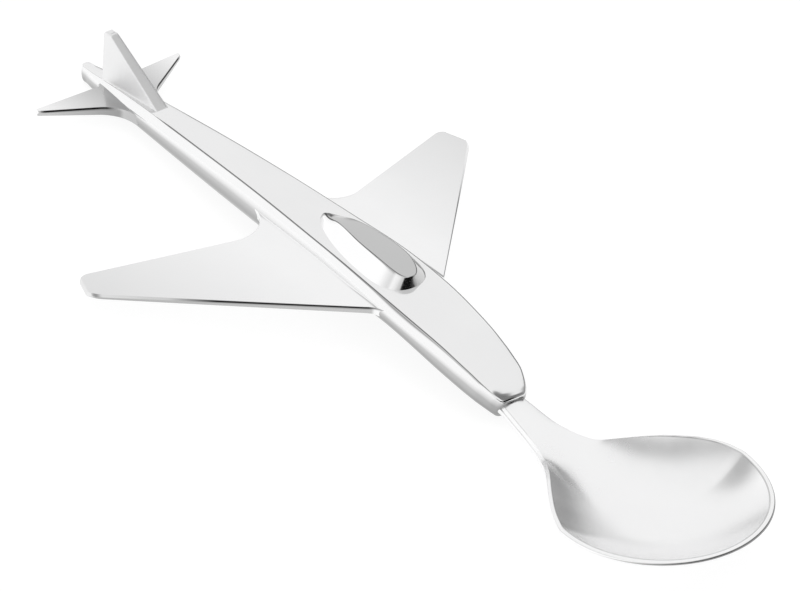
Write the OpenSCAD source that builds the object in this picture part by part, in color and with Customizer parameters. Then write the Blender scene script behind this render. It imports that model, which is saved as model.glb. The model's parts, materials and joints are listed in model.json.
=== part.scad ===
// Baby spoon with an aeroplane handle, in millimetres.
// The pieces are drawn level, with X from the tail end to the bowl and the rim of the bowl near Z = 0.
// The whole spoon is then pitched so that it rests on its bowl and its tail, with Z = 0 at the table.

/* [Fuselage] */
// Length from the tail end to the front edge of the deck
handle_length = 100.2; // [92:0.2:112]
// Widest width of the deck
deck_width = 9.7; // [8.7:0.1:11]
// Height of the highest deck edge above the level datum
deck_peak = 6.2; // [5.6:0.1:7]
// Rise of the crowned deck over its edges at the widest place
deck_crown = 0.3; // [0.1:0.05:0.8]
// How far the side stands out past the deck edge
side_flare = 1; // [0.7:0.05:1.3]
// Deepest depth of the body below the deck edge
body_depth = 6.4; // [5.8:0.1:7.4]

/* [Wings] */
// Half of the wing span, from the centre line to the tip
wing_half_span = 33.7; // [26.5:0.2:40.5]
// Trailing edge, carried on to the centre line
wing_rear_x = 54; // [52:0.1:56]
// Leading edge, carried on to the centre line
wing_front_x = 82.6; // [80:0.1:83.5]
// Sweep of the trailing edge, in degrees
wing_rear_angle = 21.8; // [18:0.2:25]
// Chord of the tip, before its corners are rounded
wing_tip_chord = 5.5; // [4.8:0.1:8]
// How much further out the tip's front corner is than its rear corner
wing_tip_cant = 1.7; // [0:0.1:2.2]
// Height of the wing's upper face at the centre line
wing_height = 4.7; // [4.4:0.05:4.9]
// Droop of each wing, in degrees
wing_droop = 5.7; // [3.5:0.1:7]
// Thickness at the root
wing_root_gauge = 1.4; // [1:0.05:1.6]
// Thickness at the tip
wing_tip_gauge = 0.75; // [0.6:0.05:1]
// Radius of the fillet where the trailing edge meets the body
wing_rear_fillet = 4.6; // [2:0.1:5]
// Radius of the fillet where the leading edge meets the body
wing_front_fillet = 4; // [2:0.1:5]
// Radius of the tip's corners
wing_tip_radius = 1.6; // [0.8:0.1:2]
// Distance from the centre line to the inner end of the wing's tenon
wing_tenon_y = 2.4; // [2:0.1:2.8]

/* [Tailplanes] */
// Half of the tail span, from the centre line to the tip
tailplane_half_span = 12.6; // [11:0.1:13.4]
// Trailing edge, carried on to the centre line
tailplane_rear_x = 6.4; // [6:0.1:7]
// Leading edge, carried on to the centre line
tailplane_front_x = 14.2; // [13.8:0.1:15]
// Sweep of the trailing edge, in degrees
tailplane_rear_angle = 5.6; // [3:0.2:8]
// Chord of the tip, before its corners are rounded
tailplane_tip_chord = 0.85; // [0.8:0.05:1.4]
// Height of the upper face at the centre line
tailplane_height = 4.1; // [3.9:0.05:4.15]
// Droop of each tailplane, in degrees
tailplane_droop = 2.6; // [1:0.2:5]
// Thickness at the root
tailplane_root_gauge = 1.8; // [1.4:0.05:2]
// Thickness at the tip
tailplane_tip_gauge = 0.9; // [0.8:0.05:1.1]
// Radius of the fillet where the trailing edge meets the body
tailplane_rear_fillet = 0.6; // [0.3:0.1:1]
// Radius of the fillet where the leading edge meets the body
tailplane_front_fillet = 6; // [4:0.2:7]
// Radius of the tip's corners
tailplane_tip_radius = 0.4; // [0.2:0.05:0.4]
// Distance from the centre line to the inner end of the tailplane's tenon
tailplane_tenon_y = 1; // [0.8:0.05:1.2]

/* [Fin] */
// Height of the fin's tip above the level datum
fin_top = 12.3; // [10:0.1:15]
// Place of the upright rear edge
fin_rear_x = 5.6; // [5:0.1:6.5]
// Place where the sloping front edge meets the deck
fin_foot_x = 18.6; // [17:0.1:21]
// Width of the tip along the spoon
fin_tip_chord = 1.5; // [1:0.1:2.5]
// Thickness at the foot
fin_root_gauge = 2; // [1.6:0.05:2.2]
// Thickness at the tip
fin_tip_gauge = 1.3; // [1:0.05:1.5]
// Radius of the tip's corners
fin_tip_radius = 0.6; // [0.3:0.05:0.7]
// Depth of the tenon under the foot
fin_tenon_depth = 1.2; // [0.8:0.1:1.6]
// Thickness of the tenon
fin_tenon_gauge = 0.9; // [0.7:0.05:1.1]
// Distance of the tenon from each end of the foot
fin_tenon_inset = 1.6; // [1:0.1:3]

/* [Canopy] */
// Place of the pointed rear end on the deck
canopy_rear_x = 55.7; // [52:0.1:58]
// Length along the deck
canopy_length = 20.7; // [17:0.1:22.5]
// Width of the foot
canopy_width = 8.5; // [7:0.1:8.7]
// Width of the flat top
canopy_top_width = 4.3; // [3.4:0.1:5.2]
// Distance of the top's point from the rear end of the foot
canopy_rear_reach = 2.4; // [1.5:0.1:4]
// Distance of the top's front from the front end of the foot
canopy_front_reach = 0.4; // [0.2:0.1:1.2]
// Height of the top above the deck's middle
canopy_height = 2.3; // [1.6:0.05:2.8]
// Rise of the top's middle over its edges
canopy_dome = 0.2; // [0.1:0.05:0.5]
// Diameter of the locating pegs
peg_diameter = 1.6; // [1.2:0.1:2]
// Depth of the pegs in the deck
peg_depth = 1.4; // [1:0.1:1.6]
// Distance between the pegs
peg_spacing = 8; // [6:0.5:10]

/* [Spoon head] */
// Length of the neck from the nose to the bowl's centre
neck_reach = 32.1; // [28:0.1:37]
// Width of the neck at the nose
neck_width = 4.6; // [4:0.1:5]
// Thickness of the neck
neck_gauge = 1.3; // [1.1:0.05:1.5]
// Length from the bowl's centre to its tip
bowl_front = 17.4; // [15:0.2:22]
// Widest width of the bowl
bowl_width = 32.6; // [28:0.2:38]
// Inside depth of the bowl below the datum
bowl_depth = 5.8; // [5:0.1:7]
// Thickness of the bowl
bowl_gauge = 1; // [0.8:0.05:1.2]
// Depth of the lowest neck edge below the datum
neck_dip = 2.95; // [2.6:0.05:3.2]
// Rise of the bowl's side edges over the datum
rim_lift = 0.65; // [0.3:0.05:1]

/* [Tang] */
// Length of the tang inside the nose
tang_length = 14; // [8:0.5:17]
// Width of the tang
tang_width = 3.2; // [2.6:0.1:3.4]
// Thickness of the tang
tang_gauge = 1.1; // [0.9:0.05:1.15]
// Slope of the tang and of the neck at the nose, in degrees
tang_pitch = 12.5; // [11:0.5:14]

/* [Fits] */
// Thickness of the solder round the tang
solder_gauge = 0.15; // [0.1:0.05:0.2]
// Clearance round tenons and pegs
fit_clearance = 0.05; // [0.03:0.01:0.08]
// Gap between the neck and the nose face, and under the canopy
seam_gap = 0.04; // [0.02:0.01:0.08]

/* [Hidden] */
overrun = 20;
arc_steps = 8;
round_fn = 48;

// Smooth curve through a table's rows: the first column is the station, c is the column that is read.
function rise(t, i, c) =
    let (a = max(i - 1, 0), b = min(i + 1, len(t) - 1))
    (t[b][c] - t[a][c]) / (t[b][0] - t[a][0]);
function row_at(t, s, i = 0) = i >= len(t) - 2 || s < t[i + 1][0] ? i : row_at(t, s, i + 1);
function read(t, s, c) =
    let (
        i = row_at(t, s),
        d = t[i + 1][0] - t[i][0],
        u = min(max((s - t[i][0]) / d, 0), 1),
        a = t[i][c],
        b = t[i + 1][c]
    )
    a + u * u * (3 - 2 * u) * (b - a)
        + d * u * (1 - u) * ((1 - u) * rise(t, i, c) - u * rise(t, i + 1, c));

// Fuselage stations as shares: place along the handle, deck width, deck height, side flare, body depth,
// and lean, the share of the nose face's lean.
fuselage_shares = [
    [0.000, 0.062, 0.556, 0.10, 0.31, 0],
    [0.006, 0.113, 0.610, 0.20, 0.40, 0],
    [0.016, 0.155, 0.635, 0.30, 0.45, 0],
    [0.030, 0.184, 0.660, 0.46, 0.475, 0],
    [0.060, 0.219, 0.710, 0.66, 0.525, 0],
    [0.140, 0.300, 0.810, 0.95, 0.65, 0],
    [0.298, 0.514, 0.935, 0.95, 0.872, 0],
    [0.448, 0.691, 1.000, 0.92, 1.00, 0],
    [0.597, 0.870, 0.995, 0.86, 1.00, 0],
    [0.660, 0.948, 0.987, 0.88, 0.953, 0],
    [0.710, 0.990, 0.950, 0.92, 0.889, 0],
    [0.776, 1.000, 0.855, 0.98, 0.788, 0.05],
    [0.823, 0.977, 0.758, 0.96, 0.78, 0.13],
    [0.888, 0.901, 0.576, 0.86, 0.795, 0.35],
    [0.928, 0.835, 0.408, 0.72, 0.75, 0.5],
    [0.948, 0.788, 0.311, 0.62, 0.717, 0.62],
    [0.968, 0.732, 0.194, 0.52, 0.659, 0.74],
    [0.981, 0.649, 0.080, 0.44, 0.603, 0.86],
    [0.991, 0.557, -0.032, 0.40, 0.550, 0.94],
    [0.997, 0.464, -0.113, 0.36, 0.528, 1],
    [1.000, 0.412, -0.153, 0.36, 0.518, 1]
];
nose_lean_share = 0.4;
widest_depth_share = 0.34;
belly_roundness = 2.3;
nose_squareness = 1.4;
tail_steps = 7;
body_steps = 20;
nose_steps = 9;
tail_end_share = 0.06;
nose_start_share = 0.955;
deck_steps = 6;
shoulder_steps = 3;
belly_steps = 10;

function station(x) = x / handle_length;
function deck_half(x) = read(fuselage_shares, station(x), 1) * deck_width / 2;
function deck_edge(x) = read(fuselage_shares, station(x), 2) * deck_peak;
function flare(x) = read(fuselage_shares, station(x), 3) * side_flare;
function body_half(x) = deck_half(x) + flare(x);
function depth(x) = read(fuselage_shares, station(x), 4) * body_depth;
function lean(x) = read(fuselage_shares, station(x), 5) * nose_lean_share;
function roundness(x) = belly_roundness + nose_squareness * read(fuselage_shares, station(x), 5);
function crown(x) = deck_crown * deck_half(x) / (deck_width / 2);
function deck_z(x, y) = deck_edge(x) + crown(x) * max(0, 1 - pow(y / deck_half(x), 2));

// One section of the fuselage, anticlockwise as seen from the nose: deck, right side, belly, left side.
function deck_row(x) = [
    for (i = [0 : deck_steps])
        let (y = deck_half(x) * (2 * i / deck_steps - 1))
        [y, crown(x) * (1 - pow(2 * i / deck_steps - 1, 2))]
];
function shoulder_row(x) = [
    for (i = [1 : shoulder_steps])
        let (s = i / shoulder_steps)
        [deck_half(x) + flare(x) * (1 - pow(1 - s, 2)), -s * widest_depth_share * depth(x)]
];
function belly_row(x) = [
    for (i = [1 : belly_steps - 1])
        let (a = 180 * i / belly_steps, e = 2 / roundness(x))
        [
            body_half(x) * sign(cos(a)) * pow(abs(cos(a)), e),
            -depth(x) * (widest_depth_share + (1 - widest_depth_share) * pow(sin(a), e))
        ]
];
function mirrored(row) = [for (i = [len(row) - 1 : -1 : 0]) [-row[i][0], row[i][1]]];
function section(x) =
    let (row = concat(deck_row(x), shoulder_row(x), belly_row(x), mirrored(shoulder_row(x))))
    [for (p = row) [x + lean(x) * p[1], p[0], deck_edge(x) + p[1]]];

fuselage_stations = concat(
    [for (i = [0 : tail_steps - 1]) tail_end_share * pow(i / tail_steps, 2)],
    [for (i = [0 : body_steps - 1]) tail_end_share + (nose_start_share - tail_end_share) * i / body_steps],
    [for (i = [0 : nose_steps]) 1 - (1 - nose_start_share) * pow(1 - i / nose_steps, 2)]
);
fuselage_rings = [for (s = fuselage_stations) section(s * handle_length)];

// Solid through a row of rings that have the same number of points.
module loft(rings) {
    n = len(rings[0]);
    last = len(rings) - 1;
    sides = [
        for (i = [0 : last - 1])
            for (j = [0 : n - 1])
                let (a = i * n + j, b = i * n + (j + 1) % n)
                each [[a, b, b + n], [a, b + n, a + n]]
    ];
    rear_cap = [for (j = [1 : n - 2]) [0, j + 1, j]];
    front_cap = [for (j = [1 : n - 2]) [last * n, last * n + j, last * n + j + 1]];
    polyhedron(points = [for (r = rings) each r], faces = concat(sides, rear_cap, front_cap));
}

neck_top_share = 0.56;

// Spoon head stations as shares: place along the neck, half width, edge height over the neck's dip,
// and depth of the middle.
head_shares = [
    [0.00, 0.141, -neck_top_share, 0.24],
    [0.06, 0.152, -0.665, 0.30],
    [0.125, 0.166, -0.80, 0.36],
    [0.19, 0.184, -0.915, 0.42],
    [0.27, 0.219, -0.98, 0.49],
    [0.33, 0.252, -1.00, 0.54],
    [0.41, 0.315, -0.955, 0.62],
    [0.50, 0.425, -0.61, 0.74],
    [0.575, 0.522, -0.305, 0.83],
    [0.65, 0.623, -0.05, 0.90],
    [0.725, 0.725, 0.10, 0.95],
    [0.80, 0.823, 0.20, 0.98],
    [0.88, 0.917, 0.20, 0.995],
    [0.94, 0.968, 0.13, 1.00],
    [1.00, 1.000, 0.03, 1.00],
    [1.06, 0.968, -0.07, 1.00]
];
rim_peak_share = 0.2;
rim_thin_share = 0.3;
bowl_fullness = 2.3;
section_fullness = 2.2;
tip_drop_share = 1;
tip_drop_power = 3;
rim_thin_power = 4;
tip_angle = 88.6;
neck_steps = 22;
front_steps = 14;
across_steps = 12;
root_fade_share = 0.2;

nose_z = read(fuselage_shares, 1, 2) * deck_peak;
function nose_face_x(z) = handle_length + nose_lean_share * (z - nose_z);
neck_top = -neck_dip * neck_top_share;
neck_x = nose_face_x(neck_top);
bowl_x = neck_x + neck_reach;

// Values along the head: below 1 a share of the neck, above 1 the turn from the bowl's centre to its tip.
function head_x(s) = s <= 1 ? neck_x + neck_reach * s : bowl_x + bowl_front * sin((s - 1) * tip_angle);
function run(s) = sin((s - 1) * tip_angle);
neck_widening = neck_width / bowl_width;
function half_share(s) =
    let (h = read(head_shares, s, 1))
    h + (neck_widening - head_shares[0][1]) * max(0, 1 - s / root_fade_share);
function head_half(s) = bowl_width / 2 * (s <= 1 ? half_share(s) : cos((s - 1) * tip_angle));
function edge_rise(v) = v < 0 ? v * neck_dip : v * rim_lift / rim_peak_share;
function head_edge(s) =
    s <= 1 ? edge_rise(read(head_shares, s, 2))
           : edge_rise(read(head_shares, 1, 2))
               - tip_drop_share * rim_lift * (1 - pow(1 - run(s), tip_drop_power));
function head_middle(s) =
    s <= 1 ? -bowl_depth * read(head_shares, s, 3)
           : head_edge(s) - (bowl_depth + head_edge(s)) * (1 - pow(run(s), bowl_fullness));
function head_gauge(s) = s <= 1 ? neck_gauge + (bowl_gauge - neck_gauge) * s : bowl_gauge;

// One section of the head: the upper face from left to right, then the lower face back again.
function upper(s, u) = head_edge(s) + (head_middle(s) - head_edge(s)) * (1 - pow(abs(u), section_fullness));
function lower(s, u) = upper(s, u) - head_gauge(s) * (1 - rim_thin_share * pow(abs(u), rim_thin_power));
function root_lean(s, z) = nose_lean_share * max(0, 1 - s / root_fade_share) * (z - neck_top);
function head_section(s) = [
    for (face = [0, 1])
        for (i = [0 : across_steps])
            let (
                u = face == 0 ? 2 * i / across_steps - 1 : 1 - 2 * i / across_steps,
                z = face == 0 ? upper(s, u) : lower(s, u)
            )
            [head_x(s) + root_lean(s, z) + seam_gap * max(0, 1 - s), u * head_half(s), z]
];
head_stations = concat(
    [for (i = [0 : neck_steps - 1]) i / neck_steps],
    [for (i = [0 : front_steps]) 1 + i / front_steps]
);
head_rings = [for (s = head_stations) head_section(s)];

// Rest on the table: pitch that brings the lowest points of the bowl and of the tail to one height.
tail_points = [for (i = [0 : tail_steps + 2]) each fuselage_rings[i]];
bowl_points = [for (r = head_rings) each r];
function pitched(p, a) = [p[0] * cos(a) - p[2] * sin(a), p[1], p[0] * sin(a) + p[2] * cos(a)];
function lowest(points, a) =
    let (heights = [for (p = points) pitched(p, a)[2]])
    points[search(min(heights), heights)[0]];
function rest_angle(a, tries) =
    let (t = lowest(tail_points, a), b = lowest(bowl_points, a), next = atan2(t[2] - b[2], b[0] - t[0]))
    tries == 0 ? next : rest_angle(next, tries - 1);
rest_tries = 5;
rest_pitch = rest_angle(0, rest_tries);
rest_drop = pitched(lowest(bowl_points, rest_pitch), rest_pitch)[2];
rear_reach = min([for (p = tail_points) pitched(p, rest_pitch)[0]]);
front_reach = max([for (p = bowl_points) pitched(p, rest_pitch)[0]]);

module at_rest() {
    translate([-(rear_reach + front_reach) / 2, 0, -rest_drop]) rotate([0, -rest_pitch, 0]) children();
}

// Rounded corner between two directions that leave it, from the first side to the second.
function unit(v) = v / norm(v);
function corner_arc(p, a, b, r) =
    let (
        half = acos(unit(a) * unit(b)) / 2,
        centre = p + unit(unit(a) + unit(b)) * r / sin(half),
        first = p + unit(a) * r / tan(half) - centre,
        second = p + unit(b) * r / tan(half) - centre,
        start = atan2(first[1], first[0]),
        turn = atan2(first[0] * second[1] - first[1] * second[0], first * second)
    )
    [for (i = [0 : arc_steps]) centre + r * [cos(start + turn * i / arc_steps), sin(start + turn * i / arc_steps)]];
function reach_along(p, a, b, r) = r / tan(acos(unit(a) * unit(b)) / 2);

// Plan of a swept plate that grows out of the body's side: its tenon, fillets, edges and rounded tip.
function edge_x(x, sweep, y) = x - tan(sweep) * y;
function root_y(x, sweep, y, tries) = tries == 0 ? y : root_y(x, sweep, body_half(edge_x(x, sweep, y)), tries - 1);
function rear_corner(x, sweep) = let (y = root_y(x, sweep, 0, rest_tries)) [edge_x(x, sweep, y), y];
function side_run(x, d) = unit([d, body_half(x + d) - body_half(x)]);
function outward(sweep) = [-sin(sweep), cos(sweep)];
function plate_plan(rear_x, rear_sweep, front_x, front_sweep, span, cant, rear_r, front_r, tip_r, tenon_y) =
    let (
        rear = rear_corner(rear_x, rear_sweep),
        front = rear_corner(front_x, front_sweep),
        to_tail = side_run(rear[0], -rear_r),
        to_nose = side_run(front[0], front_r),
        rear_tip = [edge_x(rear_x, rear_sweep, span - cant), span - cant],
        front_tip = [edge_x(front_x, front_sweep, span), span],
        rear_arc = corner_arc(rear, to_tail, outward(rear_sweep), rear_r),
        front_arc = corner_arc(front, outward(front_sweep), to_nose, front_r)
    )
    concat(
        [[rear_arc[0][0], tenon_y]],
        rear_arc,
        corner_arc(rear_tip, -outward(rear_sweep), front_tip - rear_tip, tip_r),
        corner_arc(front_tip, rear_tip - front_tip, -outward(front_sweep), tip_r),
        front_arc,
        [[front_arc[arc_steps][0], tenon_y]]
    );

// Sweep of a front edge, from its place at the centre line and the chord of the tip.
function front_angle(front_x, rear_x, rear_angle, span, chord) =
    atan2(front_x - edge_x(rear_x, rear_angle, span) - chord, span);
wing_front_angle = front_angle(wing_front_x, wing_rear_x, wing_rear_angle, wing_half_span, wing_tip_chord);
tailplane_front_angle = front_angle(tailplane_front_x, tailplane_rear_x, tailplane_rear_angle,
    tailplane_half_span, tailplane_tip_chord);

wing_plan = plate_plan(wing_rear_x, wing_rear_angle, wing_front_x, wing_front_angle, wing_half_span,
    wing_tip_cant, wing_rear_fillet, wing_front_fillet, wing_tip_radius, wing_tenon_y);
tailplane_plan = plate_plan(tailplane_rear_x, tailplane_rear_angle, tailplane_front_x, tailplane_front_angle,
    tailplane_half_span, 0, tailplane_rear_fillet, tailplane_front_fillet, tailplane_tip_radius,
    tailplane_tenon_y);

// Plate with a flat upper face at Z = 0 and an underside that rises from the body to the tip.
module tapered_plate(plan, root_y, span, root_gauge, tip_gauge) {
    taper = atan2(root_gauge - tip_gauge, span - root_y);
    first_x = min([for (p = plan) p[0]]);
    length = max([for (p = plan) p[0]]) - first_x;
    difference() {
        translate([0, 0, -root_gauge]) linear_extrude(root_gauge) polygon(plan);
        translate([first_x - overrun, root_y, -root_gauge]) rotate([taper, 0, 0]) translate([0, 0, -overrun])
            cube([length + 2 * overrun, span + overrun, overrun]);
    }
}

// Slot in the body for a plate's tenon.
module plate_slot(plan, gauge, tenon_y) {
    first_x = plan[0][0] - fit_clearance;
    last_x = plan[len(plan) - 1][0] + fit_clearance;
    translate([first_x, tenon_y - fit_clearance, -gauge - fit_clearance])
        cube([last_x - first_x, overrun, gauge + 2 * fit_clearance]);
}

module wing_place() {
    translate([0, 0, wing_height]) rotate([-wing_droop, 0, 0]) children();
}

module tailplane_place() {
    translate([0, 0, tailplane_height]) rotate([-tailplane_droop, 0, 0]) children();
}

module wing() {
    wing_place() tapered_plate(wing_plan, body_half(wing_rear_x), wing_half_span, wing_root_gauge, wing_tip_gauge);
}

module tailplane() {
    tailplane_place() tapered_plate(tailplane_plan, body_half(tailplane_rear_x), tailplane_half_span,
        tailplane_root_gauge, tailplane_tip_gauge);
}

// Fin: side view in X and Z, foot on the deck's middle line.
fin_foot_rear = [fin_rear_x, deck_z(fin_rear_x, 0)];
fin_foot_front = [fin_foot_x, deck_z(fin_foot_x, 0)];
fin_tip_rear = [fin_rear_x, fin_top];
fin_tip_front = [fin_rear_x + fin_tip_chord, fin_top];
fin_side = concat(
    [fin_foot_rear],
    corner_arc(fin_tip_rear, fin_foot_rear - fin_tip_rear, fin_tip_front - fin_tip_rear, fin_tip_radius),
    corner_arc(fin_tip_front, fin_tip_rear - fin_tip_front, fin_foot_front - fin_tip_front, fin_tip_radius),
    [fin_foot_front]
);
fin_taper = atan2((fin_root_gauge - fin_tip_gauge) / 2, fin_top - fin_foot_rear[1]);
fin_tenon_rear = fin_rear_x + fin_tenon_inset;
fin_tenon_front = fin_foot_x - fin_tenon_inset;

// Tenon outline: from inside the fin's foot down to the tenon's depth, grown by a clearance.
function fin_tenon(grow) = [
    [fin_tenon_rear - grow, deck_z(fin_tenon_rear, 0) - fin_tenon_depth - grow],
    [fin_tenon_rear - grow, deck_z(fin_tenon_rear, 0) + fin_tenon_depth],
    [fin_tenon_front + grow, deck_z(fin_tenon_front, 0) + fin_tenon_depth / 2],
    [fin_tenon_front + grow, deck_z(fin_tenon_front, 0) - fin_tenon_depth - grow]
];

module upright(outline, gauge) {
    rotate([90, 0, 0]) linear_extrude(gauge, center = true) polygon(outline);
}

module fin_cheek() {
    translate([fin_rear_x - overrun, fin_root_gauge / 2, fin_foot_rear[1]]) rotate([fin_taper, 0, 0])
        translate([0, 0, -overrun]) cube([fin_foot_x + 2 * overrun, overrun, 2 * overrun + fin_top]);
}

// Canopy: a leaf-shaped foot on the deck, a smaller domed leaf on top, and two pegs below.
leaf_widest_share = 0.72;
foot_point_share = 0.75;
foot_round = 2.4;
top_point_share = 0.65;
top_round = 2.5;
function leaf(t, point_share, front_round) =
    t < leaf_widest_share
        ? pow(sin(90 * t / leaf_widest_share), point_share)
        : pow(1 - pow((t - leaf_widest_share) / (1 - leaf_widest_share), front_round), 1 / front_round);
function foot_leaf(t) = leaf(t, foot_point_share, foot_round);
function top_leaf(t) = leaf(t, top_point_share, top_round);
canopy_rise_shares = [[0, 0.56], [0.2, 0.95], [0.5, 0.985], [0.775, 1], [0.888, 0.9], [0.96, 0.77], [1, 0.69]];
canopy_steps = 26;
canopy_end_share = 0.004;
top_steps = 4;
function leaf_place(i) = canopy_end_share + (1 - 2 * canopy_end_share) * (1 - cos(180 * i / canopy_steps)) / 2;
function foot_x(t) = canopy_rear_x + canopy_length * t;
function top_x(t) =
    canopy_rear_x + canopy_rear_reach + (canopy_length - canopy_rear_reach - canopy_front_reach) * t;
function top_z(t) = deck_z(foot_x(t), 0) + canopy_height * read(canopy_rise_shares, t, 1);
function foot_row(t, sign) = [
    for (i = [0 : top_steps])
        let (y = sign * canopy_width / 2 * foot_leaf(t) * (1 - 2 * i / top_steps))
        [foot_x(t), y, deck_z(foot_x(t), y) + seam_gap]
];
function top_row(t) = [
    for (i = [0 : top_steps])
        let (u = 2 * i / top_steps - 1)
        [top_x(t), u * canopy_top_width / 2 * top_leaf(t), top_z(t) + canopy_dome * top_leaf(t) * (1 - u * u)]
];
canopy_rings = [
    for (i = [0 : canopy_steps])
        let (t = leaf_place(i))
        concat(top_row(t), foot_row(t, 1))
];
peg_middle_x = foot_x(leaf_widest_share) - peg_spacing / 3;

module pegs(grow) {
    for (side = [-1, 1])
        let (x = peg_middle_x + side * peg_spacing / 2, z = deck_z(x, 0))
            translate([x, 0, z - peg_depth - grow])
                cylinder(d = peg_diameter + 2 * grow, h = peg_depth + canopy_height / 3 + grow, $fn = round_fn);
}

// Tang frame: X along the neck at the nose, Z square to it, the origin in the middle of the neck's root.
module tang_place() {
    translate([neck_x, 0, neck_top - neck_gauge / 2]) rotate([0, tang_pitch, 0]) children();
}

module tang_block(grow, front) {
    translate([-tang_length - grow, -tang_width / 2 - grow, -tang_gauge / 2 - grow])
        cube([tang_length + grow + front, tang_width + 2 * grow, tang_gauge + 2 * grow]);
}

solder_set_back = solder_gauge + neck_gauge / 2;

module fuselage() {
    color("gainsboro") at_rest() difference() {
        loft(fuselage_rings);
        for (side = [0, 1])
            mirror([0, side, 0]) {
                wing_place() plate_slot(wing_plan, wing_root_gauge, wing_tenon_y);
                tailplane_place() plate_slot(tailplane_plan, tailplane_root_gauge, tailplane_tenon_y);
            }
        upright(fin_tenon(fit_clearance), fin_tenon_gauge + 2 * fit_clearance);
        pegs(fit_clearance);
        tang_place() tang_block(solder_gauge, overrun);
    }
}

module left_wing() {
    color("silver") at_rest() mirror([0, 1, 0]) wing();
}

module right_wing() {
    color("silver") at_rest() wing();
}

module canopy() {
    color("lightgray") at_rest() {
        loft(canopy_rings);
        pegs(0);
    }
}

module tail_fin() {
    color("silver") at_rest() {
        difference() {
            upright(fin_side, fin_root_gauge);
            for (side = [0, 1])
                mirror([0, side, 0]) fin_cheek();
        }
        upright(fin_tenon(0), fin_tenon_gauge);
    }
}

module left_tailplane() {
    color("silver") at_rest() mirror([0, 1, 0]) tailplane();
}

module right_tailplane() {
    color("silver") at_rest() tailplane();
}

module spoon_head() {
    color("whitesmoke") at_rest() {
        loft(head_rings);
        tang_place() tang_block(0, neck_gauge);
    }
}

module tang_solder() {
    color("darkgray") at_rest() tang_place() difference() {
        tang_block(solder_gauge, -solder_set_back);
        tang_block(0, overrun);
    }
}

fuselage();
left_wing();
right_wing();
canopy();
tail_fin();
left_tailplane();
right_tailplane();
spoon_head();
tang_solder();
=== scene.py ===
# %% [markdown]
# # A silver baby spoon with an aeroplane handle
# The spoon is polished silver plate. Its handle is a small aeroplane, and the nose of the aeroplane
# runs into a neck and a round oval bowl. The CAD model gives the places and the sizes. Here each piece
# is made again with enough faces for a mirror finish, because every flat facet would show in a mirror.

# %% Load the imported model
import json
from math import acos, atan2, cos, pi, radians, sin, sqrt, tan
import bpy
from mathutils import Matrix, Vector

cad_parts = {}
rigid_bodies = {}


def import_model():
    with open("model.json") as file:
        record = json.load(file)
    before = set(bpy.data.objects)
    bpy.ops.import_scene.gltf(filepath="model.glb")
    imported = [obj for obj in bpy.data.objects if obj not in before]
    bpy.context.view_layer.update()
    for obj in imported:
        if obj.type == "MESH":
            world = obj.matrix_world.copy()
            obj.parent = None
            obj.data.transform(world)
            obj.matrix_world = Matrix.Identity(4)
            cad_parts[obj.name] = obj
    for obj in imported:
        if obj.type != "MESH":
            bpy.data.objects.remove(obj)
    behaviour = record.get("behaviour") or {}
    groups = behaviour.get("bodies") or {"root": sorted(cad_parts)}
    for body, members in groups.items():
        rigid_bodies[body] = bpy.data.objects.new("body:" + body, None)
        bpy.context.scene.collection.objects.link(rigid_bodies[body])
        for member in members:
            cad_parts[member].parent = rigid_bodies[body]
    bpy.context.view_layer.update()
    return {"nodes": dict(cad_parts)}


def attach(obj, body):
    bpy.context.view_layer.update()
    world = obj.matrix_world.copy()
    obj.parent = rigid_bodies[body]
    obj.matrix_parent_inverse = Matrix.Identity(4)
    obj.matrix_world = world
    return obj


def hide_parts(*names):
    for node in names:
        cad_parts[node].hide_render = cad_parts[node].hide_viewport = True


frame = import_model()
print("nodes:", sorted(frame["nodes"]))

# %% [markdown]
# ## The spoon's own level frame
# The sizes are easiest to write along the handle, in millimetres, with the tail at zero. On the table
# the spoon rests on its bowl and its tail, so it is pitched a few degrees and moved over the origin.

# %% From the level frame to the table
REST_PITCH = radians(3.60892)
REST_DROP = 1.16386
REST_MIDDLE = 74.4985
MM_PER_M = 1000


def turned(p):
    """A direction of the level frame, turned as the resting spoon is."""
    x, y, z = p
    c, s = cos(REST_PITCH), sin(REST_PITCH)
    return Vector((x * c - z * s, y, x * s + z * c))


def on_table(p):
    """A point of the level frame in millimetres, as a point of the model in metres."""
    return (turned(p) - Vector((REST_MIDDLE, 0, REST_DROP))) / MM_PER_M


print("tail end on the table:", on_table((0, 0, 3)))

# %% [markdown]
# ## Smooth curves through a few measured stations
# A spoon maker draws a few sections and files the metal smooth between them. A cubic curve through
# the rows of a small table does the same: the first column is the station, the others are read.

# %% Ramps and tables


def ramp(value, start, stop):
    """0 at start and 1 at stop, and held there beyond them. start may be the larger of the two."""
    return min(max((value - start) / (stop - start), 0), 1)


def eased(t):
    """A ramp with soft ends."""
    return t * t * (3 - 2 * t)


def mix(a, b, t):
    return a + (b - a) * t


def spread(start, stop, count):
    """Evenly spaced values, both ends included."""
    return [start + (stop - start) * i / (count - 1) for i in range(count)]


def quarter(count):
    """Angles of a quarter circle."""
    return spread(0, pi / 2, count)


def crowding(start, reach, count):
    """Values that lie closer and closer together towards start + reach."""
    return [start + reach * sin(a) for a in quarter(count)]


def slope_at(rows, i, column):
    before, after = rows[max(i - 1, 0)], rows[min(i + 1, len(rows) - 1)]
    return (after[column] - before[column]) / (after[0] - before[0])


def read_table(rows, s, column):
    """The value of a column at station s, on a cubic curve through the rows."""
    i = 0
    while i < len(rows) - 2 and s >= rows[i + 1][0]:
        i += 1
    first, last = rows[i], rows[i + 1]
    u = ramp(s, first[0], last[0])
    bend = (1 - u) * slope_at(rows, i, column) - u * slope_at(rows, i + 1, column)
    return mix(first[column], last[column], eased(u)) + (last[0] - first[0]) * u * (1 - u) * bend


print("halfway between two rows:", read_table([[0, 0], [1, 1], [2, 1]], 0.5, 1))

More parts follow.
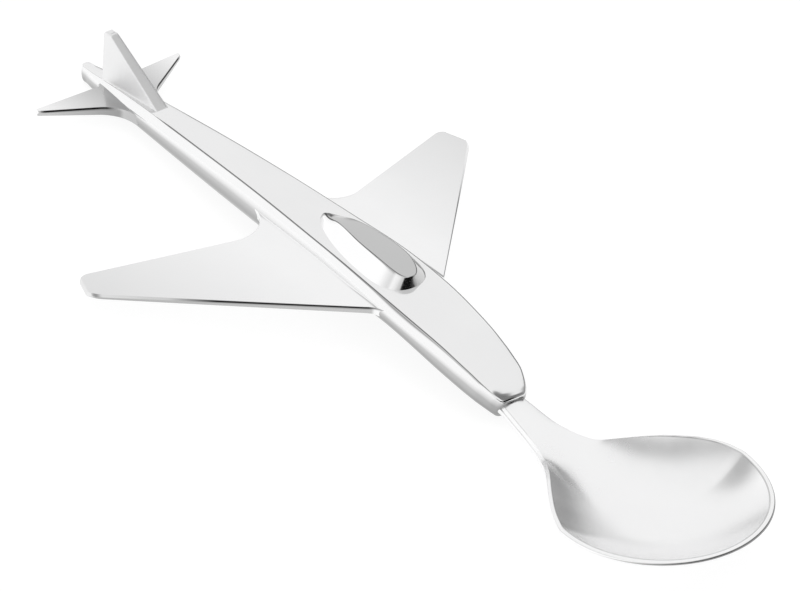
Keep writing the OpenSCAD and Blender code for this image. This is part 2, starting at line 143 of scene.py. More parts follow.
# %% [markdown]
# ## Draping a grid
# A grid primitive is a sheet of squares. Laid over the sections of a piece, row by row, it becomes the
# piece's skin. Every section here is a closed ring, so the two long edges of the sheet meet and are
# merged, and the two open ends are filled.

# %% Grid helpers
MERGE_DISTANCE = 1e-7


def clear_selection():
    if bpy.context.object and bpy.context.object.mode != "OBJECT":
        bpy.ops.object.mode_set(mode="OBJECT")
    bpy.ops.object.select_all(action="DESELECT")


def draped_grid(name, sections, line=None):
    """A grid primitive laid over sections: a list of equally long rings of points in the level frame. line
    gives a number for each point, kept as the attribute of that name: how strongly a dark line is painted
    there, as a reflection."""
    clear_selection()
    rows, around = len(sections), len(sections[0])
    bpy.ops.mesh.primitive_grid_add(x_subdivisions=around, y_subdivisions=rows - 1, size=2)
    piece = bpy.context.object
    piece.name = piece.data.name = name
    marks = piece.data.attributes.new("line", "FLOAT", "POINT") if line else None
    for v in piece.data.vertices:
        i = round((v.co.y + 1) / 2 * (rows - 1))
        j = round((v.co.x + 1) / 2 * around) % around
        v.co = on_table(sections[i][j])
        if line:
            marks.data[v.index].value = line[i][j]
    bpy.ops.object.mode_set(mode="EDIT")
    bpy.ops.mesh.select_all(action="SELECT")
    bpy.ops.mesh.remove_doubles(threshold=MERGE_DISTANCE)
    bpy.ops.mesh.fill_holes(sides=0)
    bpy.ops.mesh.select_all(action="SELECT")
    bpy.ops.mesh.normals_make_consistent(inside=False)
    bpy.ops.object.mode_set(mode="OBJECT")
    return piece


def smooth_finish(piece, degrees):
    """Smooth shading, with crisp edges where faces meet at more than the angle."""
    clear_selection()
    piece.select_set(True)
    bpy.context.view_layer.objects.active = piece
    bpy.ops.object.shade_smooth_by_angle(angle=radians(degrees))
    print(piece.name, len(piece.data.polygons), "faces")


def round_corner(before, corner, after, steps):
    """Points of a soft corner, from one side to the other, without the two ends."""
    points = []
    for t in spread(0, 1, steps + 1)[1:-1]:
        near, middle, far = (1 - t) ** 2, 2 * t * (1 - t), t * t
        points.append(tuple(near * a + middle * b + far * c for a, b, c in zip(before, corner, after)))
    return points


print("a soft corner:", round_corner((0, 0), (1, 0), (1, 1), 2))

# %% [markdown]
# ## The fuselage
# The body has a nearly flat deck, a crisp edge on each side of it, sides that flare out and a round belly.
# Each section is drawn across the body, and the sections follow the deck's sweep down to the nose.

# %% Measures of the fuselage
HANDLE_LENGTH = 100.2
DECK_HALF = 4.85
DECK_PEAK = 6.2
DECK_CROWN = 0.3
BODY_DEPTH = 6.4
NOSE_LEAN = 0.4
WIDEST_SHARE = 0.34
# Each row: share of the length, of the deck's half width and of its height, flare in millimetres, share
# of the depth and share of the nose's lean.
DECK, EDGE, FLARE, DEPTH, NOSE = range(1, 6)
BODY_ROWS = [
    [0.016, 0.155, 0.635, 0.30, 0.435, 0],
    [0.030, 0.184, 0.660, 0.46, 0.475, 0],
    [0.060, 0.219, 0.710, 0.66, 0.525, 0],
    [0.140, 0.300, 0.810, 0.95, 0.65, 0],
    [0.298, 0.514, 0.935, 0.95, 0.872, 0],
    [0.448, 0.691, 1.000, 0.92, 1.00, 0],
    [0.597, 0.870, 0.995, 0.86, 1.00, 0],
    [0.660, 0.948, 0.987, 0.88, 0.953, 0],
    [0.710, 0.990, 0.950, 0.92, 0.889, 0],
    [0.776, 1.000, 0.855, 0.98, 0.788, 0.05],
    [0.823, 0.977, 0.758, 0.96, 0.78, 0.13],
    [0.888, 0.901, 0.576, 0.86, 0.795, 0.35],
    [0.928, 0.835, 0.408, 0.72, 0.75, 0.5],
    [0.948, 0.788, 0.311, 0.62, 0.717, 0.62],
    [0.968, 0.732, 0.194, 0.52, 0.659, 0.74],
    [0.981, 0.649, 0.080, 0.44, 0.603, 0.86],
    [0.991, 0.557, -0.032, 0.40, 0.550, 0.94],
    [0.997, 0.464, -0.113, 0.36, 0.528, 1],
    [1.000, 0.412, -0.153, 0.36, 0.518, 1],
]


def body(x, column):
    return read_table(BODY_ROWS, x / HANDLE_LENGTH, column)


def deck_half(x):
    return body(x, DECK) * DECK_HALF


def deck_edge(x):
    return body(x, EDGE) * DECK_PEAK


def body_half(x):
    return deck_half(x) + body(x, FLARE)


def crown_share(u):
    """Height of the deck across its width: almost flat, and rolling over near the edges."""
    u = min(abs(u), 1)
    return 0.75 * (1 - u * u) + 0.25 * (1 - u ** 6)


def deck_z(x, y):
    return deck_edge(x) + DECK_CROWN * body(x, DECK) * crown_share(y / deck_half(x))


print("widest place of the body:", round(2 * max(body_half(x) for x in range(101)), 1), "mm")

# %% [markdown]
# A section starts with the deck from left to right. A soft corner leads to the right shoulder, the belly
# is an oval that gets squarer towards the nose, and the left side is the mirror image of the right.

# %% Sections of the fuselage
DECK_POINTS, SHOULDER_POINTS, CORNER_STEPS, BELLY_STEPS = 37, 12, 6, 44
BELLY_POWER = 2.3
NOSE_SQUARENESS = 1.4
MOST_CORNER = 0.4


def edge_round(x):
    """Size of the soft corner at the deck's edge: crisp at the tail, softer ahead and most at the nose."""
    return 0.02 + 0.17 * ramp(x, 19, 23) + 0.05 * ramp(x, 96.5, 99.5)


def body_section(x):
    half, flare, depth = deck_half(x), body(x, FLARE), body(x, DEPTH) * BODY_DEPTH
    crown, power = DECK_CROWN * body(x, DECK), 2 / (BELLY_POWER + NOSE_SQUARENESS * body(x, NOSE))
    soft, fall = edge_round(x), WIDEST_SHARE * depth
    deck = [(y, crown * crown_share(y / half)) for y in spread(-half + soft, half - soft, DECK_POINTS)]
    first = min(soft / sqrt(4 * flare * flare + fall ** 2), MOST_CORNER)
    right = [(half + flare * (1 - (1 - s) ** 2), -s * fall) for s in spread(first, 1, SHOULDER_POINTS)]
    corner = round_corner(deck[-1], (half, 0), right[0], CORNER_STEPS)
    belly = []
    for a in spread(0, pi, BELLY_STEPS + 1)[1:-1]:
        y = (half + flare) * (1 if cos(a) >= 0 else -1) * abs(cos(a)) ** power
        belly.append((y, -fall - (depth - fall) * sin(a) ** power))
    left = [(-y, z) for y, z in reversed(corner + right)]
    lean, edge = NOSE_LEAN * body(x, NOSE), deck_edge(x)
    return [(x + lean * z, y, edge + z) for y, z in deck + corner + right + belly + left]


def shrunk(section, share_y, share_z):
    """A section drawn in towards its middle."""
    mid = (max(p[2] for p in section) + min(p[2] for p in section)) / 2
    return [(x, y * share_y, mid + (z - mid) * share_z) for x, y, z in section]


print("points in a section:", len(body_section(50)))

# %% [markdown]
# The tail ends in a small upright nub that is round seen from above, and the nose in a flat face with
# soft edges. Both are made by drawing the last sections in along a quarter circle.

# %% The fuselage's skin
TAIL_END, TAIL_ROUND, TAIL_START, TAIL_STEPS = 0.05, 1.05, 1.15, 16
NOSE_START, NOSE_ROUND, NOSE_STEPS = 93, 0.3, 6
NOSE_HALF, NOSE_HALF_DEPTH = 2.3, 1.7
tail_ring = body_section(TAIL_START)
body_sections = []
for a in quarter(TAIL_STEPS + 1)[1:-1]:
    x = TAIL_END + TAIL_ROUND * (1 - cos(a))
    body_sections.append([(x, y, z) for _, y, z in shrunk(tail_ring, sin(a), 0.96 + 0.04 * sin(a))])
for x in spread(TAIL_START, NOSE_START, 170) + spread(NOSE_START + 0.2, HANDLE_LENGTH - NOSE_ROUND, 70):
    body_sections.append(body_section(x))
for a in quarter(NOSE_STEPS + 1)[1:]:
    ring = body_section(HANDLE_LENGTH - NOSE_ROUND * (1 - sin(a)))
    inset = NOSE_ROUND * (1 - cos(a))
    body_sections.append(shrunk(ring, 1 - inset / NOSE_HALF, 1 - inset / NOSE_HALF_DEPTH))
fuselage = draped_grid("fuselage_skin", body_sections)
smooth_finish(fuselage, degrees=32)

# %% [markdown]
# ## Wings, tailplanes and fin: thin plates
# Each is a plate with soft edges that grows out of the body in a small fillet. Its sections are cut
# across the span: a crowned face, a chamfered front edge, the underside and a rounded rear edge. Towards
# the wing tip the front edge is filed to a wider bevel.

# %% Plate sections
FACE_POINTS, CHAMFER_POINTS = 19, 4


def plate_section(rear, front, top, bottom, crown, corners, undercut=0):
    """Points (chord, height, face) of one section; corners give the reach and drop of the four edges: a
    chamfer at the front top, then the rounded front bottom, rear bottom and rear top. face is 1 on the
    upper half and 0 on the lower."""
    chord, gauge = front - rear, top - bottom
    held = [(min(reach, chord * 0.3), min(drop, gauge * 0.6)) for reach, drop in corners]
    (ax, az), (bx, bz), (cx, cz), (dx, dz) = held
    bz, cz = min(bz, gauge * 0.3), min(cz, gauge * 0.3)

    def face(x):
        return top - crown * (2 * (x - rear) / chord - 1) ** 2

    brow, back = face(front - ax), face(rear + dx)
    under = undercut * max(gauge - az - bz, 0)
    heel = front - under - bx
    points = [(x, face(x), 1) for x in spread(rear + dx, front - ax, FACE_POINTS)]
    points += [(front - ax + ax * t, brow - az * t, 1) for t in spread(0, 1, CHAMFER_POINTS + 1)[1:]]
    points += [(front - under * t, mix(brow - az, bottom + bz, t), 1) for t in (1 / 3, 2 / 3)]
    points += [(heel + bx * cos(a), bottom + bz - bz * sin(a), 0) for a in quarter(6)]
    points += [(x, bottom, 0) for x in spread(heel, rear + cx, 11)[1:]]
    points += [(rear + cx - cx * sin(a), bottom + cz - cz * cos(a), 0) for a in quarter(6)[1:]]
    points += [(rear + dx - dx * cos(a), back - dz * (1 - sin(a)), 1) for a in quarter(8)[:-1]]
    return points


def fillet(distance, radius):
    """Rise of a small fillet at a distance from the wall that it meets."""
    d = min(max(distance, 0), radius)
    return radius - sqrt(radius ** 2 - (radius - d) ** 2)


print("points in a plate section:", len(plate_section(0, 10, 1, 0, 0, ((0.1, 0.1),) * 4)))

# %% [markdown]
# The plan of a swept plate is drawn first: the straight edges and a fillet where each meets the body.
# The sections then read the rear and front edge at each place of the span. Towards the tip the sections
# turn until they lie along the slanting tip, and the last ones are drawn in to round its corners.

# %% Plan of a swept plate
REAR, FRONT = -1, 1


def corner_arc(p, a, b, radius, steps=24):
    """A rounded corner at p between the directions a and b that leave it."""
    p, a, b = Vector(p), Vector(a).normalized(), Vector(b).normalized()
    half = acos(a.dot(b)) / 2
    centre = p + (a + b).normalized() * radius / sin(half)
    first, last = p + a * radius / tan(half) - centre, p + b * radius / tan(half) - centre
    start = atan2(first.y, first.x)
    turn = atan2(first.x * last.y - first.y * last.x, first.dot(last))
    return [centre + radius * Vector((cos(t), sin(t))) for t in spread(start, start + turn, steps + 1)]


def meeting(edge_x, sweep):
    """Where a swept edge meets the side of the body, found in a few tries."""
    y = 0
    for _ in range(8):
        y = body_half(edge_x - tan(sweep) * y)
    return Vector((edge_x - tan(sweep) * y, y))


def swept_edge(edge_x, sweep, span, radius, way):
    """One edge of a plate, a chain of (x, y) from the fillet at the body to the tip."""
    root = meeting(edge_x, sweep)
    along_body = Vector((way * radius, body_half(root.x + way * radius) - body_half(root.x)))
    outward = Vector((-sin(sweep), cos(sweep)))
    return corner_arc(root, along_body, outward, radius) + [Vector((edge_x - tan(sweep) * span, span))]


def edge_at(chain, y):
    """The place along the spoon where a chain crosses the span place y."""
    if y <= chain[0].y:
        return chain[0].x
    for p, q in zip(chain, chain[1:]):
        if p.y <= y <= q.y and q.y > p.y:
            return p.x + (q.x - p.x) * (y - p.y) / (q.y - p.y)
    return chain[-1].x


print("a swept edge at the body:", meeting(82.6, radians(47.3459)))

# %% [markdown]
# Along the front chamfer of a plate a fine dark line is painted, as a dark reflection. How strong the line
# is at each place is kept with the mesh, for the finish to read.

# %% A swept plate
TURN_REACH = 9
SOFT_EDGE = (0.3, 0.25)
UNDERCUT = 0.2


def swept_plate(name, side, chains, stations, span, cant, tip_round, height, droop, crown,
                gauge_at, bevel_at, rise_at, painted_line_at):
    rear_chain, front_chain = chains
    sections, lines = [], []
    for q in stations:
        skew = cant * eased(ramp(q, span - TURN_REACH, span))
        rear, front = edge_at(rear_chain, q - skew), edge_at(front_chain, q)
        chord, gauge, bevel = front - rear, gauge_at(q), bevel_at(q)
        corner, tip = ramp(span - q, tip_round, 0), ramp(span - q, bevel[0], 0)
        draw_in = tip_round * (1 - sqrt(1 - corner * corner))
        bottom = -gauge + 0.25 * gauge * (1 - sqrt(1 - tip * tip))
        corners = (bevel, SOFT_EDGE, SOFT_EDGE, SOFT_EDGE)
        section = plate_section(rear + draw_in, front - 0.6 * draw_in, -bevel[1] * tip, bottom,
                                crown * chord, corners, UNDERCUT)
        ring = []
        for x, z, upper in section:
            y = q - skew * (front - x) / chord
            z += upper * rise_at(x, y)
            outward, rise = y * cos(droop) + z * sin(droop), z * cos(droop) - y * sin(droop)
            ring.append((x, side * outward, height + rise))
        sections.append(ring)
        # The painted dark line, a reflection, lies on the points of the front chamfer.
        painted_line_strengths = [0] * len(ring)
        painted_line_strengths[FACE_POINTS:FACE_POINTS + CHAMFER_POINTS] = [painted_line_at(q)] * (CHAMFER_POINTS - 1) + [painted_line_at(q) / 2]
        lines.append(painted_line_strengths)
    piece = draped_grid(name, sections, line=lines)
    smooth_finish(piece, degrees=24)
    return piece


print("the sections turn over the last", TURN_REACH, "mm of a span")

# %% [markdown]
# ### The two wings
# The far wing is modelled like the near one, as its mirror image, so each has a mesh of its own.

# %% Wings
WING_SPAN = 33.7
WING_ROOT = 4.6


def wing_gauge(y):
    return mix(1.4, 0.75, ramp(y, WING_ROOT, WING_SPAN))


def wing_bevel(y):
    """Reach and drop of the front chamfer: steep at the root, wide and flatter towards the tip."""
    t = ramp(y, 6, 29)
    return 0.17 + 0.2 * t * t, 0.27 + 0.03 * t


def wing_rise(x, y):
    """The solder at the wing's root is smoothed into a small fillet."""
    return 0.28 * ramp(max(y - body_half(x), 0), 1.2, 0) ** 2


def wing_painted_line(y):
    """The painted dark line, a reflection, runs from the root to past the middle of the span."""
    return ramp(y, 25.7, 21.4) * ramp(y, 5, 6.5)


WING = dict(
    chains=(swept_edge(54.0, radians(21.8), WING_SPAN, 4.6, REAR),
            swept_edge(82.6, radians(47.3459), WING_SPAN, 4.0, FRONT)),
    stations=spread(3.4, 8.5, 40) + spread(8.8, 31.6, 60) + crowding(31.8, 1.88, 30),
    span=WING_SPAN, cant=1.7, tip_round=1.6, height=4.7, droop=radians(5.7), crown=0.006,
    gauge_at=wing_gauge, bevel_at=wing_bevel, rise_at=wing_rise, painted_line_at=wing_painted_line)
left_wing = swept_plate("left_wing_skin", -1, **WING)
right_wing = swept_plate("right_wing_skin", 1, **WING)

# %% [markdown]
# ### The two tailplanes
# They are small wings without a bevel: the front chamfer is the same all along, and no solder shows.

# %% Tailplanes
TAIL_SPAN = 12.6
TAIL_ROOT = 1.75


def tail_gauge(y):
    return mix(1.8, 0.9, ramp(y, TAIL_ROOT, TAIL_SPAN))


def tail_bevel(y):
    return 0.17, 0.27


def no_rise(x, y):
    return 0


# The painted dark line, a reflection, along most of the tailplane's front chamfer.
def tail_painted_line(y):
    return ramp(y, 3.6, 4.4) * ramp(y, 12.2, 11.7)


TAILPLANE = dict(
    chains=(swept_edge(6.4, radians(5.6), TAIL_SPAN, 0.6, REAR),
            swept_edge(14.2, radians(33.0093), TAIL_SPAN, 6.0, FRONT)),
    stations=spread(0.9, 4.2, 40) + spread(4.4, 11.6, 24) + crowding(11.7, 0.88, 20),
    span=TAIL_SPAN, cant=0, tip_round=0.4, height=4.1, droop=radians(2.6), crown=0.012,
    gauge_at=tail_gauge, bevel_at=tail_bevel, rise_at=no_rise, painted_line_at=tail_painted_line)
left_tailplane = swept_plate("left_tailplane_skin", -1, **TAILPLANE)
right_tailplane = swept_plate("right_tailplane_skin", 1, **TAILPLANE)

# %% [markdown]
# ### The fin
# The fin stands on the deck. Its rear edge is upright, its front edge is a flat sloping face, and a
# small fillet runs round its foot. It is cut into level sections from the deck to the tip.

# %% Fin
FIN_TOP, FIN_FOOT_Z = 12.25, 4.6
FIN_REAR, FIN_TIP, FIN_FRONT = 5.6, 1.5, 18.6
FIN_CORNER, FIN_EDGE, FIN_TOP_ROUND, FIN_FILLET = 0.6, (0.12, 0.12), 0.3, 0.08
FIN_FLANK = 0.3
fin_foot = deck_z(FIN_FRONT, 0)
fin_slope = (FIN_FRONT - FIN_REAR - FIN_TIP, fin_foot - FIN_TOP)
fin_rear_chain = [Vector((FIN_REAR, 3.0))] + corner_arc((FIN_REAR, FIN_TOP), (0, -1), (1, 0), FIN_CORNER)
fin_front_chain = [Vector((FIN_FRONT + 1.6, fin_foot - 1.0))]
fin_front_chain += corner_arc((FIN_REAR + FIN_TIP, FIN_TOP), fin_slope, (-1, 0), FIN_CORNER)
fin_sections = []
for z in spread(4.3, 6.6, 40) + spread(6.7, 11.2, 30) + crowding(11.25, 1.04, 24):
    tip = ramp(FIN_TOP - z, FIN_TOP_ROUND, 0)
    gauge = mix(2.0, 1.3, ramp(z, FIN_FOOT_Z, FIN_TOP)) - 0.5 * (1 - sqrt(1 - tip * tip))
    rear, front = edge_at(fin_rear_chain, z), edge_at(fin_front_chain, z)
    ring = []
    for x, y, upper in plate_section(rear, front, gauge / 2, -gauge / 2, 0, (FIN_EDGE,) * 4):
        grow = fillet(z - deck_z(x, 0.8), FIN_FILLET) if abs(y) > FIN_FLANK else 0
        ring.append((x, y + grow if upper else y - grow, z))
    fin_sections.append(ring)
fin = draped_grid("fin_skin", fin_sections)
smooth_finish(fin, degrees=32)

# %% [markdown]
# ## The canopy
# A leaf-shaped block on the deck: sloping walls, a crisp edge and a gently domed top that is pointed at
# the rear. Each section runs from the right foot over the top to the left foot.

# %% Canopy
CANOPY_REAR = 55.7
CANOPY_LENGTH = 21.6
CANOPY_FOOT, CANOPY_TOP, CANOPY_HEIGHT, CANOPY_DOME = 4.2, 2.13, 2.25, 0.06
CANOPY_EDGE, CANOPY_SUNK, WALL_LENGTH = 0.12, 0.1, 1.8
TOP_SET_BACK, TOP_SHORTER = 2.4, 2.95
PROW_SWELL, PROW_REACH, RIDGE_PAINTED_LINE = 0.4, 0.3, 0.03
RISE_ROWS = [[0, 0.56], [0.2, 0.95], [0.5, 0.985], [0.775, 1.0], [0.888, 0.90], [0.96, 0.77], [1, 0.69]]
LEAF_WIDEST = 0.72


def leaf(t, point, front_round):
    """Half width of a leaf shape: a pointed rear end and a round front end."""
    if t < LEAF_WIDEST:
        return sin(pi / 2 * t / LEAF_WIDEST) ** point
    return (1 - ((t - LEAF_WIDEST) / (1 - LEAF_WIDEST)) ** front_round) ** (1 / front_round)


def canopy_section(t):
    foot_x = CANOPY_REAR + CANOPY_LENGTH * t
    top_x = CANOPY_REAR + TOP_SET_BACK + (CANOPY_LENGTH - TOP_SHORTER) * t
    top_z = deck_z(foot_x, 0) + CANOPY_HEIGHT * read_table(RISE_ROWS, t, 1)
    foot_half, top_half = CANOPY_FOOT * leaf(t, 0.64, 2.4), CANOPY_TOP * leaf(t, 0.65, 2.5)
    foot = (foot_x, foot_half, deck_z(foot_x, foot_half) - CANOPY_SUNK)

    def top_point(u):
        return (top_x, u * top_half, top_z + CANOPY_DOME * top_half * (1 - u * u))

    def wall_point(v):
        x, y, z = (mix(a, b, v) for a, b in zip(foot, top_point(1)))
        swell = PROW_SWELL * sin(pi * v) * max(1 - t / PROW_REACH, 0) ** 2
        return x - swell, y, z + swell

    soft = min(CANOPY_EDGE, 0.3 * top_half)
    inner = 1 - soft / max(top_half, 0.01)
    right = [wall_point(v) for v in spread(0, 1 - soft / WALL_LENGTH, 9)]
    right += round_corner(right[-1], top_point(1), top_point(inner), 6)
    top = [top_point(u) for u in spread(inner, -inner, 19)]
    return right + top + [(x, -y, z) for x, y, z in reversed(right)]


canopy_places = [0.001 + 0.998 * (1 - cos(a)) / 2 for a in spread(0, pi, 141)]
canopy_sections = [canopy_section(t) for t in canopy_places]
# A dark line is painted along the pointed rear ridge, as a reflection.
canopy_painted_line = [[ramp(t, RIDGE_PAINTED_LINE, 0)] * len(canopy_sections[0]) for t in canopy_places]
canopy = draped_grid("canopy_skin", canopy_sections, line=canopy_painted_line)
smooth_finish(canopy, degrees=30)

# %% [markdown]
# ## The spoon head
# The neck and the bowl are one stamped piece. The grid is laid over the neck in straight rows and over
# the round front of the bowl in rows that bend with the rim, so that no row shrinks to a point there.

# %% Measures of the neck and bowl
NECK_X = 99.9186
NECK_REACH = 32.1
BOWL_X = NECK_X + NECK_REACH
BOWL_FRONT = 17.4
BOWL_HALF = 16.3
BOWL_DEPTH = 5.8
NECK_DIP = 2.95
RIM_LIFT = 0.65
RIM_ROUND = 0.26
NECK_GAUGE, BOWL_GAUGE = 1.28, 0.96
WALL_POWER, TIP_POWER = 2.2, 0.1
# Each row: share of the reach, of the bowl's half width, of the rim's height and of the bowl's depth.
HALF, RIM, DIP = range(1, 4)
HEAD_ROWS = [
    [0.00, 0.141, -0.56, 0.24],
    [0.06, 0.152, -0.665, 0.30],
    [0.125, 0.166, -0.80, 0.36],
    [0.19, 0.184, -0.915, 0.42],
    [0.27, 0.219, -0.98, 0.49],
    [0.33, 0.252, -1.00, 0.54],
    [0.41, 0.315, -0.955, 0.62],
    [0.50, 0.425, -0.61, 0.74],
    [0.575, 0.522, -0.305, 0.83],
    [0.65, 0.623, -0.05, 0.90],
    [0.725, 0.725, 0.10, 0.95],
    [0.80, 0.823, 0.20, 0.98],
    [0.88, 0.917, 0.20, 0.995],
    [0.94, 0.968, 0.13, 1.00],
    [1.00, 1.000, 0.03, 1.00],
    [1.06, 0.968, -0.07, 1.00],
]
RIM_PEAK, RIM_WIDEST = 0.20, 0.03


def rim_height(share):
    return share * NECK_DIP if share < 0 else share * RIM_LIFT / RIM_PEAK


def gauge_share(out):
    """The stamped sheet is thinner at the rim."""
    return 1 - 0.3 * min(out, 1) ** 4


def lip(s):
    """Width and drop of the lip: a steep bevel along the neck, a flat lip round the bowl."""
    t = eased(ramp(s, 0.25, 0.6))
    return 0.32 + 0.18 * t, 0.4 - 0.36 * t


def lip_painted_line(off):
    """1 where the lip meets the wall of the bowl and a dark line is painted there, as a reflection; 0 a
    little off it.
    """
    return ramp(abs(off), 0.15, 0)


print("width of the bowl:", 2 * BOWL_HALF, "mm")

# %% [markdown]
# Each place of the upper face comes with the thickness of the sheet there, the way out to the rim, and
# how strongly a dark line is painted where the lip meets the wall, as a reflection.

# %% Places on the neck and bowl
LEAN_REACH, LEAN_LEVEL = 0.2, 1.652
NECK_GAP = 0.04


def neck_point(s, u):
    """A place on the neck or on the rear of the bowl: s runs along them and u from side to side."""
    row = max(s, 0)
    half = BOWL_HALF * read_table(HEAD_ROWS, row, HALF)
    edge = rim_height(read_table(HEAD_ROWS, row, RIM))
    middle = -BOWL_DEPTH * read_table(HEAD_ROWS, row, DIP)
    lip_width, lip_drop = lip(s)
    y, wall = u * (half - RIM_ROUND), half - RIM_ROUND - lip_width
    out = min(abs(y) / wall, 1)
    z = mix(edge, middle, 1 - out ** WALL_POWER) - lip_drop * max(abs(y) - wall, 0) / lip_width
    lean = NOSE_LEAN * max(0, 1 - s / LEAN_REACH) * (z + LEAN_LEVEL)
    x = NECK_X + NECK_REACH * s + lean + NECK_GAP * (1 - s)
    gauge = mix(NECK_GAUGE, BOWL_GAUGE, s) * gauge_share(out)
    way = Vector((0, 1 if u > 0 else -1, 0))
    return Vector((x, y, z)), gauge, way, lip_painted_line(abs(y) - wall) * ramp(s, 0.5, 0.7)


def bowl_point(a, b):
    """A place on the front of the bowl: a runs from the widest place to the tip, b from side to side."""
    draw_in = 1 - RIM_ROUND / BOWL_HALF
    x, y = draw_in * a * sqrt(1 - b * b / 2), draw_in * b * sqrt(1 - a * a / 2)
    edge = rim_height(RIM_WIDEST) - RIM_LIFT * (1 - (1 - x) ** 3)
    reach = sqrt(x * x + y * y)
    lip_width, lip_drop = lip(1)
    wall = draw_in - lip_width / BOWL_HALF
    out, on_lip = min(reach / wall, 1), (reach - wall) * BOWL_HALF
    power = WALL_POWER + TIP_POWER * (x / reach) ** 2 if reach > 1e-6 else WALL_POWER
    z = mix(edge, -BOWL_DEPTH, 1 - out ** power) - lip_drop * max(on_lip, 0) / lip_width
    place = Vector((BOWL_X + BOWL_FRONT * x, BOWL_HALF * y, z))
    way = Vector((x / BOWL_FRONT, y / BOWL_HALF, 0)).normalized()
    return place, BOWL_GAUGE * gauge_share(out), way, lip_painted_line(on_lip)


print("lowest place inside the bowl:", bowl_point(0, 0)[0])

# %% [markdown]
# Each row of the head is a closed ring: the upper face from left to right, the round right rim, the
# lower face back again and the round left rim. The last rows draw the upper and lower face together
# round the tip.

# %% The spoon head's skin
NEAR_RIM = spread(0.9, 0.97, 16) + spread(0.975, 1, 6)
ACROSS = [-u for u in reversed(NEAR_RIM)] + spread(-0.88, 0.88, 81) + NEAR_RIM
ALONG = spread(0, 0.88, 45) + NEAR_RIM
NECK_ROWS, RIM_POINTS, TIP_ROWS = 125, 11, 7
RIM_POWER = 0.7


def rolled(place, angle):
    """A place moved round the rim's half round, from the upper face at 0 to the lower face at pi."""
    p, gauge, way, _ = place
    out, rise = RIM_ROUND * max(sin(angle), 0) ** RIM_POWER, gauge / 2 * (cos(angle) - 1)
    return p + way * out + Vector((0, 0, rise))


def rim_curve(place, start):
    return [rolled(place, a) for a in spread(start, pi - start, RIM_POINTS)[1:-1]]


def head_ring(places, start=0):
    """A ring from the places of a row; start is how far round the rim the row already lies."""
    upper, lower = [rolled(p, start) for p in places], [rolled(p, pi - start) for p in places]
    right, left = rim_curve(places[-1], start), rim_curve(places[0], start)
    return upper + right + lower[::-1] + left[::-1]


head_rows = [[neck_point(s, u) for u in ACROSS] for s in spread(-0.03, 1, NECK_ROWS)[:-1]]
head_rows += [[bowl_point(a, b) for b in ACROSS] for a in ALONG]
head_sections = [head_ring(row) for row in head_rows]
head_sections += [head_ring(head_rows[-1], start) for start in quarter(TIP_ROWS)[1:]]
around = len(head_sections[0])
head_painted_line = [[place[3] for place in row] + [0] * (around - len(row)) for row in head_rows]
head_painted_line += [[0] * around] * (TIP_ROWS - 1)
spoon_head = draped_grid("spoon_head_skin", head_sections, line=head_painted_line)
smooth_finish(spoon_head, degrees=40)

# %% [markdown]
# ## Node helpers
# The finishes and the studio are built from a few kinds of nodes. Each helper adds one node to a tree,
# takes a number or another node's output for each input, and returns the node's own output.

# %% Small node functions
COLOUR_A, COLOUR_B, COLOUR_OUT = 6, 7, 2
NUMBER_A, NUMBER_B = 2, 3


def feed(tree, value, socket):
    """Set a number on a socket, or link an output to it."""
    if isinstance(value, (int, float)):
        socket.default_value = value
    else:
        tree.links.new(value, socket)


def sums(tree, operation, a, b=0):
    node = tree.nodes.new("ShaderNodeMath")
    node.operation = operation
    feed(tree, a, node.inputs[0])
    feed(tree, b, node.inputs[1])
    return node.outputs[0]


def vectors(tree, operation, a, b, result):
    node = tree.nodes.new("ShaderNodeVectorMath")
    node.operation = operation
    feed(tree, a, node.inputs[0])
    feed(tree, b, node.inputs[1])
    return node.outputs[result]


def parts(tree, vector):
    """The X, Y and Z of a vector."""
    node = tree.nodes.new("ShaderNodeSeparateXYZ")
    feed(tree, vector, node.inputs[0])
    return node.outputs["X"], node.outputs["Y"], node.outputs["Z"]


def noise(tree, vector, scale, detail):
    node = tree.nodes.new("ShaderNodeTexNoise")
    feed(tree, vector, node.inputs["Vector"])
    feed(tree, scale, node.inputs["Scale"])
    feed(tree, detail, node.inputs["Detail"])
    return node.outputs["Fac"]


def step(tree, value, low, high, falling=False, ease="SMOOTHSTEP"):
    """A step from 0 to 1 between low and high, or from 1 to 0."""
    node = tree.nodes.new("ShaderNodeMapRange")
    node.interpolation_type = ease
    feed(tree, value, node.inputs["Value"])
    feed(tree, low, node.inputs["From Min"])
    feed(tree, high, node.inputs["From Max"])
    if falling:
        node.inputs["To Min"].default_value, node.inputs["To Max"].default_value = 1.0, 0.0
    return node.outputs["Result"]


def tinted(tree, under, mask, colour, blend="MIX"):
    """A colour laid over another one, as strongly as the mask says."""
    node = tree.nodes.new("ShaderNodeMix")
    node.data_type, node.blend_type = "RGBA", blend
    node.inputs[COLOUR_B].default_value = (*colour, 1)
    feed(tree, mask, node.inputs[0])
    if isinstance(under, tuple):
        node.inputs[COLOUR_A].default_value = (*under, 1)
    else:
        feed(tree, under, node.inputs[COLOUR_A])
    return node.outputs[COLOUR_OUT]


def new_group(name, vector_inputs, number_inputs, outputs):
    """A node group with named sockets; the inputs are dictionaries of default values."""
    group = bpy.data.node_groups.new(name, "ShaderNodeTree")
    for kind, inputs in (("NodeSocketVector", vector_inputs), ("NodeSocketFloat", number_inputs)):
        for socket, value in inputs.items():
            group.interface.new_socket(socket, in_out="INPUT", socket_type=kind).default_value = value
    for socket in outputs:
        group.interface.new_socket(socket, in_out="OUTPUT", socket_type="NodeSocketFloat")
    return group, group.nodes.new("NodeGroupInput").outputs, group.nodes.new("NodeGroupOutput").inputs


print("node helpers ready")
